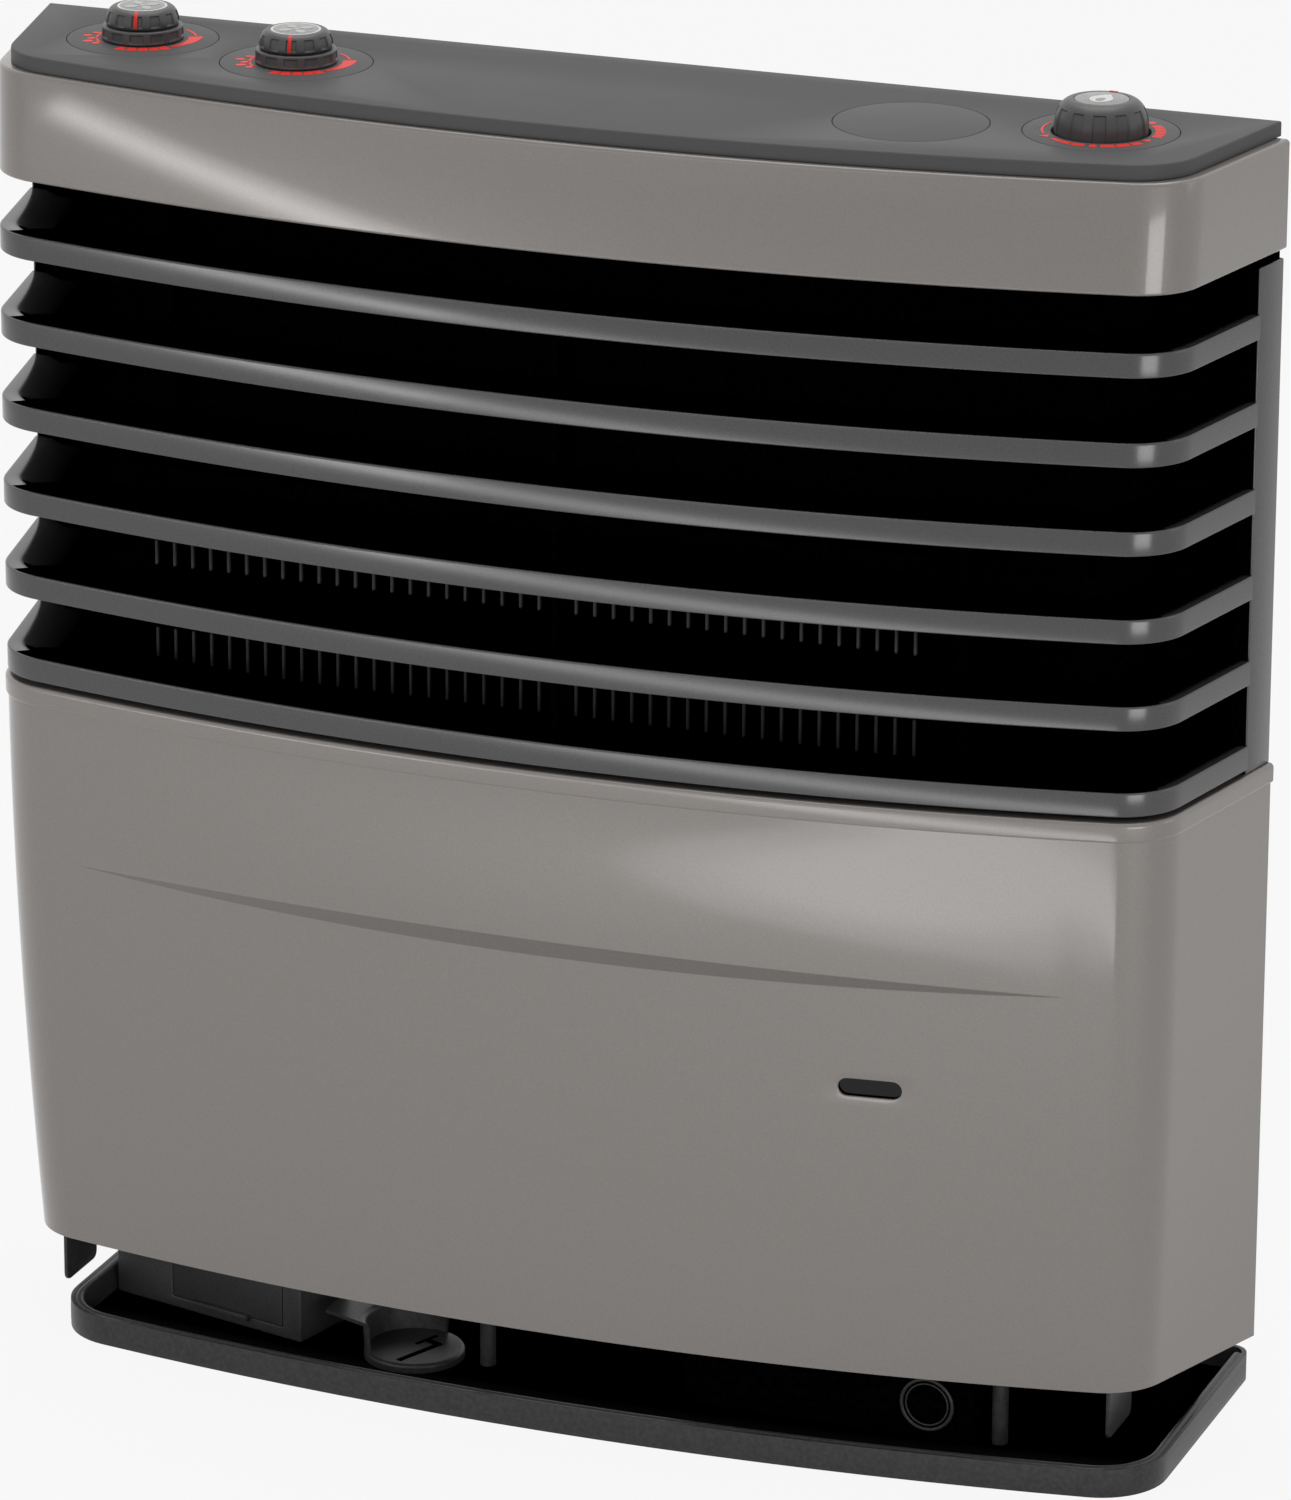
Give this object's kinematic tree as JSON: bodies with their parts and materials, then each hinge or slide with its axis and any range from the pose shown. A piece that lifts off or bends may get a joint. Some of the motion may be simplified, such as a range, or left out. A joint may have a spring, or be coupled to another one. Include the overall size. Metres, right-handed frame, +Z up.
{
  "type": "caravan gas heater",
  "caption": "Floor-standing gas convector heater with a bowed louvred casing that pulls off forwards, round fan and gas controls on its top cover, and a finned heat exchanger on a base tray.",
  "frame": {"origin": "on the floor, in the middle of the casing's width, in the plane of its rear edges", "axes": "+X to the user's right, +Y back to the wall, +Z up"},
  "size_m": [0.6466, 0.1996, 0.6773],
  "materials": {
    "casing_paint": "satin metallic paint",
    "grille_plastic": "satin, paler on the front edges",
    "cover_plastic": "fine matt",
    "knob_plastic": "matt",
    "icon_disc": "smooth",
    "base_paint": "matt black-grey paint",
    "bare_steel": "plain",
    "exchanger_metal": "dark cast",
    "fin_metal": "plain",
    "brass": "plain",
    "box_plastic": "matt",
    "glass": "dark"
  },
  "bodies": {
    "heater": {"base_tray": "base_paint", "support_legs": "bare_steel", "deck_screws": "bare_steel", "deck_plate": "base_paint", "heat_exchanger": "exchanger_metal", "exchanger_fins": "fin_metal", "flue_spigot": "bare_steel", "burner_housing": "base_paint", "burner_cap": "base_paint", "burner_riser": "base_paint", "air_intake": "bare_steel", "gas_valve": "brass", "gas_inlet_pipe": "brass", "burner_feed_pipe": "brass", "ignitor_box": "box_plastic", "tray_plug": "base_paint", "rear_frame": "fin_metal", "rear_shield": "base_paint", "left_clip": "bare_steel", "right_clip": "bare_steel", "top_cover": "cover_plastic", "fan_dial_left": "cover_plastic", "fan_dial_right": "cover_plastic", "fan_switch_left": "knob_plastic", "fan_switch_right": "knob_plastic", "blank_dial": "cover_plastic", "gas_dial": "cover_plastic", "rod_guide": "knob_plastic", "return_spring": "bare_steel"},
    "front_casing": {"casing_band": "casing_paint", "slat_1": "grille_plastic", "slat_2": "grille_plastic", "slat_3": "grille_plastic", "slat_4": "grille_plastic", "slat_5": "grille_plastic", "slat_6": "grille_plastic", "left_upright": "grille_plastic", "right_upright": "grille_plastic", "centre_stay": "grille_plastic", "panel_trim": "casing_paint", "lower_panel": "casing_paint", "window_glass": "glass", "left_tab": "base_paint", "right_tab": "base_paint"},
    "mode_ring_left": {"fan_ring_left": "knob_plastic"},
    "speed_knob_left": {"fan_knob_left": "knob_plastic", "fan_icon_left": "icon_disc"},
    "mode_ring_right": {"fan_ring_right": "knob_plastic"},
    "speed_knob_right": {"fan_knob_right": "knob_plastic", "fan_icon_right": "icon_disc"},
    "gas_press": {"push_collar": "knob_plastic"},
    "gas_control": {"gas_knob": "knob_plastic", "gas_icon": "icon_disc", "control_rod": "bare_steel"},
    "lid": {"battery_lid": "box_plastic"}
  },
  "joints": [
    {"name": "casing_pull", "type": "slide", "parent": "heater", "child": "front_casing", "axis": [0, -1, 0], "range_m": [0, 0.12]},
    {"name": "mode_turn_left", "type": "hinge", "parent": "heater", "child": "mode_ring_left", "pos_m": [-0.2445, -0.0463, 0.6595], "axis": [0, 0, 1], "range_deg": [-40, 40]},
    {"name": "speed_turn_left", "type": "hinge", "parent": "heater", "child": "speed_knob_left", "pos_m": [-0.2445, -0.0463, 0.6595], "axis": [0, 0, 1], "range_deg": [-135, 135]},
    {"name": "mode_turn_right", "type": "hinge", "parent": "heater", "child": "mode_ring_right", "pos_m": [-0.1564, -0.0628, 0.6595], "axis": [0, 0, 1], "range_deg": [-40, 40]},
    {"name": "speed_turn_right", "type": "hinge", "parent": "heater", "child": "speed_knob_right", "pos_m": [-0.1564, -0.0628, 0.6595], "axis": [0, 0, 1], "range_deg": [-135, 135]},
    {"name": "gas_push", "type": "slide", "parent": "heater", "child": "gas_press", "axis": [0, 0, -1], "range_m": [0, 0.008], "stiffness_N_per_m": 1000, "springref_m": -0.01, "deforming": ["return_spring"]},
    {"name": "gas_turn", "type": "hinge", "parent": "gas_press", "child": "gas_control", "pos_m": [0.2445, -0.0463, 0.6595], "axis": [0, 0, 1], "range_deg": [0, 270]},
    {"name": "lid_slide", "type": "slide", "parent": "heater", "child": "lid", "axis": [0, 0, 1], "range_m": [0, 0.035]}
  ]
}
